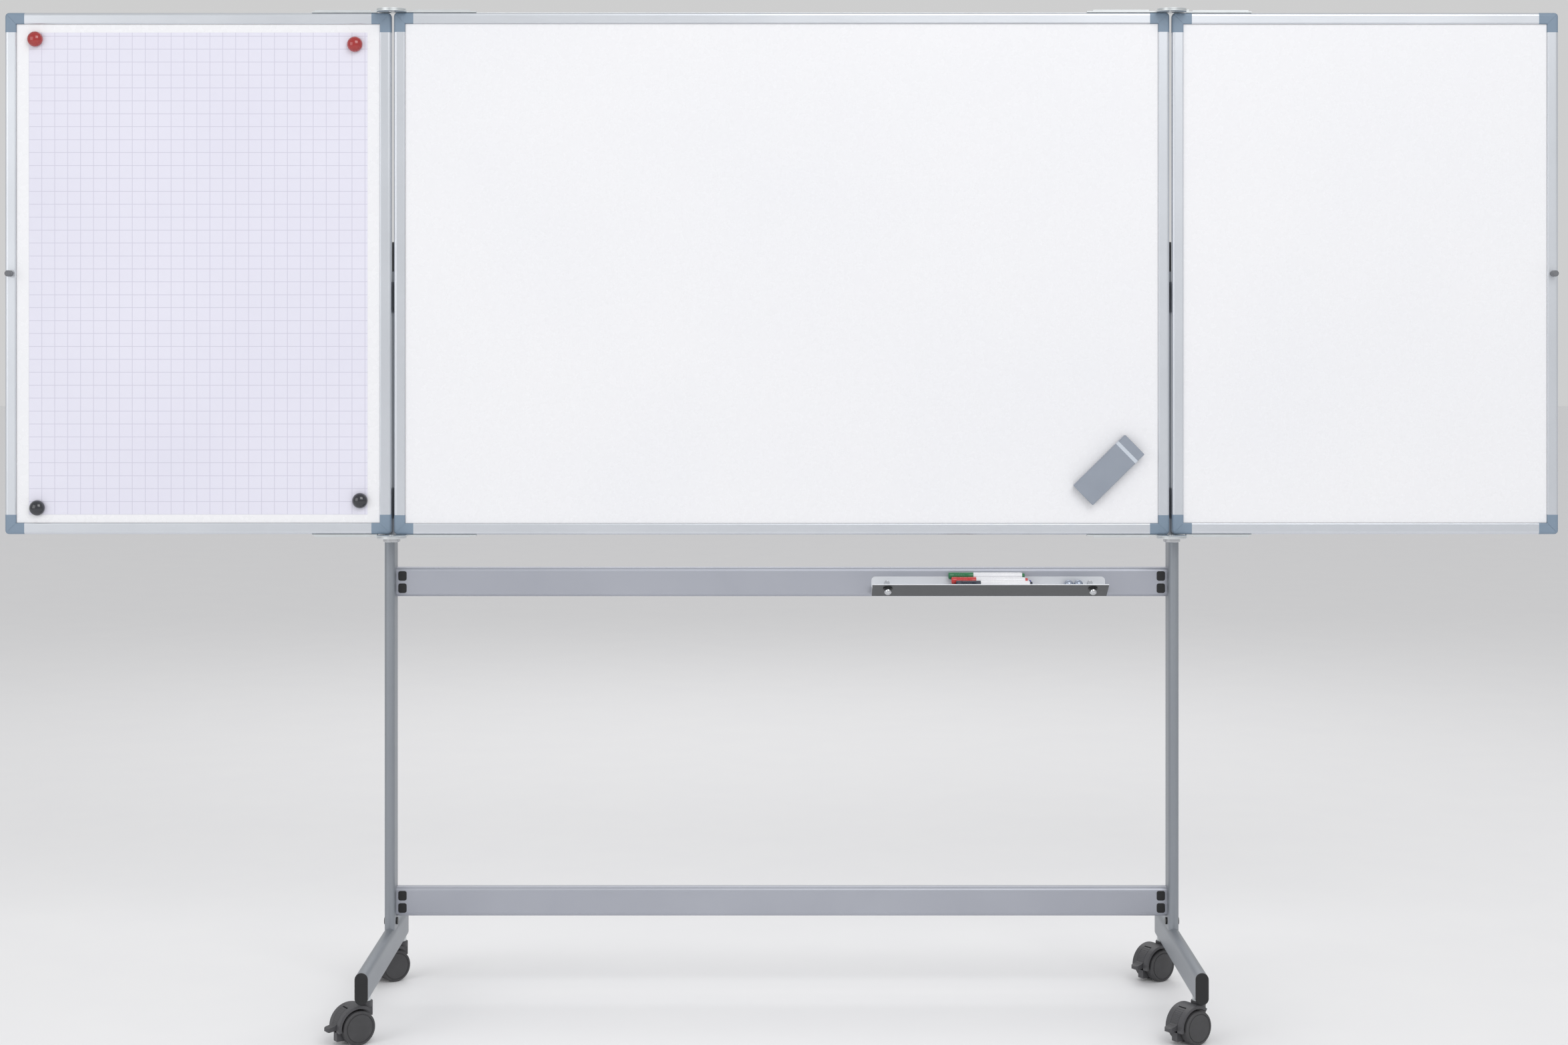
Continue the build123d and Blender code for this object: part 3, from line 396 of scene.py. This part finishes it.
# %% Ball magnets
paper_low, paper_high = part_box("paper_sheet")
magnet_low, magnet_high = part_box("ball_magnets")
magnet_height = magnet_high.y - magnet_low.y
magnet_radius = 0.015
red_gloss, *_ = finish("magnet_red", (172, 40, 38), (156, 32, 32), (0.12, 0.2), fine=200.0, coat=0.7)
black_gloss, *_ = finish("magnet_black", (36, 38, 46), (28, 30, 36), (0.12, 0.2), fine=200.0, coat=0.7)
magnet_outline = [(0.0, 0.0), (magnet_radius * 0.84, 0.0), (magnet_radius * 0.86, 0.0012),
                  (magnet_radius * 0.99, 0.0028)]
magnet_outline += round_end(magnet_radius, 0.0045, magnet_height - 0.0002)
magnet_places = (
    ("red_left", red_gloss, paper_low.x + 0.013, paper_high.z - 0.013),
    ("red_right", red_gloss, paper_high.x - 0.024, paper_high.z - 0.023),
    ("black_left", black_gloss, paper_low.x + 0.017, paper_low.z + 0.013),
    ("black_right", black_gloss, paper_high.x - 0.014, paper_low.z + 0.027),
)
magnets = [
    turned(f"magnet_{name}", magnet_outline, (x, paper_low.y, z), (0, -1, 0), material, "left_wing",
           "ball_magnet")
    for name, material, x, z in magnet_places
]
for magnet in magnets:
    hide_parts("ball_magnets")
print("magnets:", len(magnets))


# %% [markdown]
# Each tray knob is a bright ball on a dark collar. The collar and the ball are separate pieces,
# because they are different materials.

# %% Tray knobs
knob_low, knob_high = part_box("tray_knobs")
tray_low, tray_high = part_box("pen_tray")
slope_run, slope_rise = 0.043, 0.026
slope_out = Vector((0, -slope_rise, -slope_run)).normalized()
knob_drop, collar_radius, collar_height = 0.008, 0.009, 0.002
ball_radius, ball_reach = 0.0073, 0.006
ball_start, ball_steps = ball_reach - collar_height, 14
first_angle = -asin(ball_start / ball_radius)
ball_outline = [(0.0, collar_height)]
for step in range(ball_steps):
    angle = first_angle + (pi / 2 - first_angle) * step / ball_steps
    ball_outline.append((ball_radius * cos(angle), ball_reach + ball_radius * sin(angle)))
ball_outline.append((0.0, ball_reach + ball_radius))
for side, x in (("left", knob_low.x + collar_radius), ("right", knob_high.x - collar_radius)):
    foot = Vector((x, tray_low.y + knob_drop * slope_run / slope_rise, tray_low.z + slope_rise - knob_drop))
    collar = turned(f"knob_collar_{side}", [(0, 0), (collar_radius, 0), (collar_radius, 0.0014),
                    (collar_radius - 0.0006, collar_height), (0, collar_height)], foot, slope_out, black,
                    "stand", "black_plastic")
    ball = turned(f"knob_ball_{side}", ball_outline, foot, slope_out, bright, "stand", "knob_chrome")
    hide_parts("tray_knobs")
    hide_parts("tray_knobs")
print("knob ball:", round(2000 * ball_radius, 1), "mm across")


# %% [markdown]
# A board marker is a coloured cap with a shoulder and grip ribs, a white barrel and a coloured
# end plug, so each marker is three turned pieces that meet end to end. Two markers lie on the
# tray's floor, one lies between them, and the green one rests on the two at the back.

# %% Markers
white_barrel, *_ = finish("marker_barrel", (240, 240, 243), (232, 232, 237), (0.22, 0.32), fine=300.0,
                          coat=0.3)
marker_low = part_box("markers")[0]
cap_length, marker_length, tail_length = 0.048, 0.148, 0.005
cap_radius, barrel_radius, tail_radius = 0.0068, 0.0065, 0.0048
rest_distance, tray_wall, marker_gap = 0.0138, 0.0015, 0.0002
floor_z = marker_low.z + cap_radius
spread = 0.025
middle_rise = (rest_distance**2 - (spread / 2) ** 2) ** 0.5
back_y = tray_high.y - tray_wall - cap_radius - marker_gap
nest = 3**0.5 / 2
marker_kinds = (
    ("green", (34, 122, 74), back_y - spread / 4 + nest * middle_rise,
     floor_z + middle_rise / 2 + nest * spread / 2, 0.150),
    ("red", (214, 62, 60), back_y - spread / 2, floor_z + middle_rise, 0.155),
    ("dark", (32, 42, 62), back_y - spread, floor_z, 0.163),
    ("blue", (58, 50, 150), back_y, floor_z, 0.163),
)
ribs_at = [0.012 + 0.0035 * i for i in range(6)]
cap_outline = [(0.0, 0.0), (cap_radius * 0.8, 0.0), (cap_radius * 0.97, 0.0012), (cap_radius, 0.003)]
for rib_at in ribs_at:
    cap_outline += [(cap_radius, rib_at), (cap_radius * 0.94, rib_at + 0.0006),
                    (cap_radius * 0.94, rib_at + 0.0014), (cap_radius, rib_at + 0.002)]
cap_outline += [(cap_radius, cap_length - 0.001), (cap_radius * 0.97, cap_length - 0.0002),
                (0.0, cap_length - 0.0002)]
barrel_end = marker_length - tail_length
barrel_outline = [(0.0, cap_length), (barrel_radius * 0.93, cap_length),
                  (barrel_radius, cap_length + 0.001), (barrel_radius, barrel_end - 0.003),
                  (barrel_radius * 0.9, barrel_end), (0.0, barrel_end)]
tail_outline = [(0.0, barrel_end), (tail_radius, barrel_end), (tail_radius, marker_length - 0.001),
                (tail_radius * 0.9, marker_length - 0.0001), (0.0, marker_length - 0.0001)]
for colour_name, colour, y, z, start in marker_kinds:
    ink, *_ = finish(f"marker_{colour_name}", colour, tuple(c * 0.9 for c in colour), (0.25, 0.38),
                     fine=400.0, coat=0.2)
    start_point = (tray_low.x + start, y, z)
    for part, outline, material in (("cap", cap_outline, ink), ("barrel", barrel_outline, white_barrel),
                                    ("tail", tail_outline, ink)):
        piece = turned(f"marker_{colour_name}_{part}", outline, start_point, (1, 0, 0), material, "stand",
                       "marker_plastic", steps=32)
        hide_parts("markers")
print("markers:", len(marker_kinds))


# %% [markdown]
# The squared sheet hangs from its magnets, with three soft creases across it and a slow ripple
# of a fraction of a millimetre. The squares are 25 mm apart, and their faint lines come from
# measuring how near a point is to the next line.

# %% Paper
paper_width = paper_high.x - paper_low.x
paper_height = paper_high.z - paper_low.z
columns, rows = 60, 90
crease_levels, crease_half = (0.29, 0.58, 0.80), 0.02
paper_bm = bmesh.new()
bmesh.ops.create_grid(paper_bm, x_segments=columns, y_segments=rows, size=0.5)
for vert in paper_bm.verts:
    across, up = vert.co.x + 0.5, vert.co.y + 0.5
    crease = sum(max(0.0, 1 - abs(up - level) / crease_half) for level in crease_levels)
    ripple = 0.5 + 0.5 * sin(9 * up + 2.2 * across) * sin(4 * across + 1.0)
    lift = 0.00006 + 0.00012 * ripple + 0.00006 * min(1.0, crease)
    vert.co = (paper_low.x + across * paper_width, paper_high.y - lift, paper_low.z + up * paper_height)
bmesh.ops.recalc_face_normals(paper_bm, faces=paper_bm.faces)
for face in paper_bm.faces:
    if face.normal.y > 0:
        face.normal_flip()
paper_mesh = bpy.data.meshes.new("paper")
paper_bm.to_mesh(paper_mesh)
paper_bm.free()
paper_mesh.polygons.foreach_set("use_smooth", [True] * len(paper_mesh.polygons))
paper = bpy.data.objects.new("paper", paper_mesh)
bpy.context.scene.collection.objects.link(paper)

square = 0.025
line_half = 0.0006
paper_material, paper_shader, paper_body, _ = finish(
    "squared_paper", (232, 231, 243), (224, 223, 237), (0.75, 0.85), fine=700.0, broad=3.0, bump=0.2)
tree = paper_material.node_tree
paper_place = tree.nodes.new("ShaderNodeTexCoord")
from_corner = tree.nodes.new("ShaderNodeVectorMath")
from_corner.operation = "SUBTRACT"
from_corner.inputs[1].default_value = paper_low
paper_axes = tree.nodes.new("ShaderNodeSeparateXYZ")
tree.links.new(paper_place.outputs["Object"], from_corner.inputs[0])
tree.links.new(from_corner.outputs[0], paper_axes.inputs[0])
line_masks = []
for axis_name in ("X", "Z"):
    nearest = tree.nodes.new("ShaderNodeMath")
    nearest.operation = "PINGPONG"
    nearest.inputs[1].default_value = square / 2
    tree.links.new(paper_axes.outputs[axis_name], nearest.inputs[0])
    near = tree.nodes.new("ShaderNodeMath")
    near.operation = "LESS_THAN"
    near.inputs[1].default_value = line_half
    tree.links.new(nearest.outputs[0], near.inputs[0])
    line_masks.append(near.outputs[0])
either = tree.nodes.new("ShaderNodeMath")
either.operation = "MAXIMUM"
tree.links.new(line_masks[0], either.inputs[0])
tree.links.new(line_masks[1], either.inputs[1])
line_mix = tree.nodes.new("ShaderNodeMix")
line_mix.data_type = "RGBA"
line_mix.inputs[7].default_value = linear((206, 204, 220))
tree.links.new(either.outputs[0], line_mix.inputs["Factor"])
tree.links.new(paper_body.outputs["Colour"], line_mix.inputs[6])
tree.links.new(line_mix.outputs[2], paper_shader.inputs["Base Color"])
paper_mesh.materials.append(paper_material)
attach(paper, "left_wing")
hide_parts("paper_sheet")
print("paper:", round(paper_width, 3), "by", round(paper_height, 3))


# %% [markdown]
# A pale floor and a few large soft lights show the shapes without hard shadows. The key light
# stands high in front, a weaker one fills from the left, and a pale sky lifts the rest.

# %% Floor and light
floor_mesh = bpy.data.meshes.new("floor")
floor_bm = bmesh.new()
bmesh.ops.create_grid(floor_bm, x_segments=1, y_segments=1, size=30.0)
floor_bm.to_mesh(floor_mesh)
floor_bm.free()
floor_material, *_ = finish("studio_floor", (246, 246, 247), (243, 243, 245), (0.7, 0.8), bump=0.0)
floor_mesh.materials.append(floor_material)
floor = bpy.data.objects.new("floor", floor_mesh)
bpy.context.scene.collection.objects.link(floor)


def soft_light(name, place, target, size, power):
    """A large square lamp that looks at a point."""
    data = bpy.data.lights.new(name, "AREA")
    data.size = size
    data.energy = power
    lamp = bpy.data.objects.new(name, data)
    lamp.location = place
    lamp.rotation_euler = (Vector(target) - Vector(place)).to_track_quat("-Z", "Y").to_euler()
    bpy.context.scene.collection.objects.link(lamp)


soft_light("key", (1.5, -4.5, 4.6), (0, 0, 1.0), 3.5, 115)
soft_light("fill", (-4.0, -3.5, 2.2), (0, 0, 1.0), 3.0, 40)
soft_light("rim", (0.0, 3.5, 3.8), (0, 0, 1.2), 3.0, 44)
world = bpy.data.worlds.new("pale_sky")
world.use_nodes = True
world.node_tree.nodes["Background"].inputs["Color"].default_value = (1.0, 1.0, 1.0, 1.0)
world.node_tree.nodes["Background"].inputs["Strength"].default_value = 0.62
bpy.context.scene.world = world
bpy.context.scene.view_settings.view_transform = "Standard"
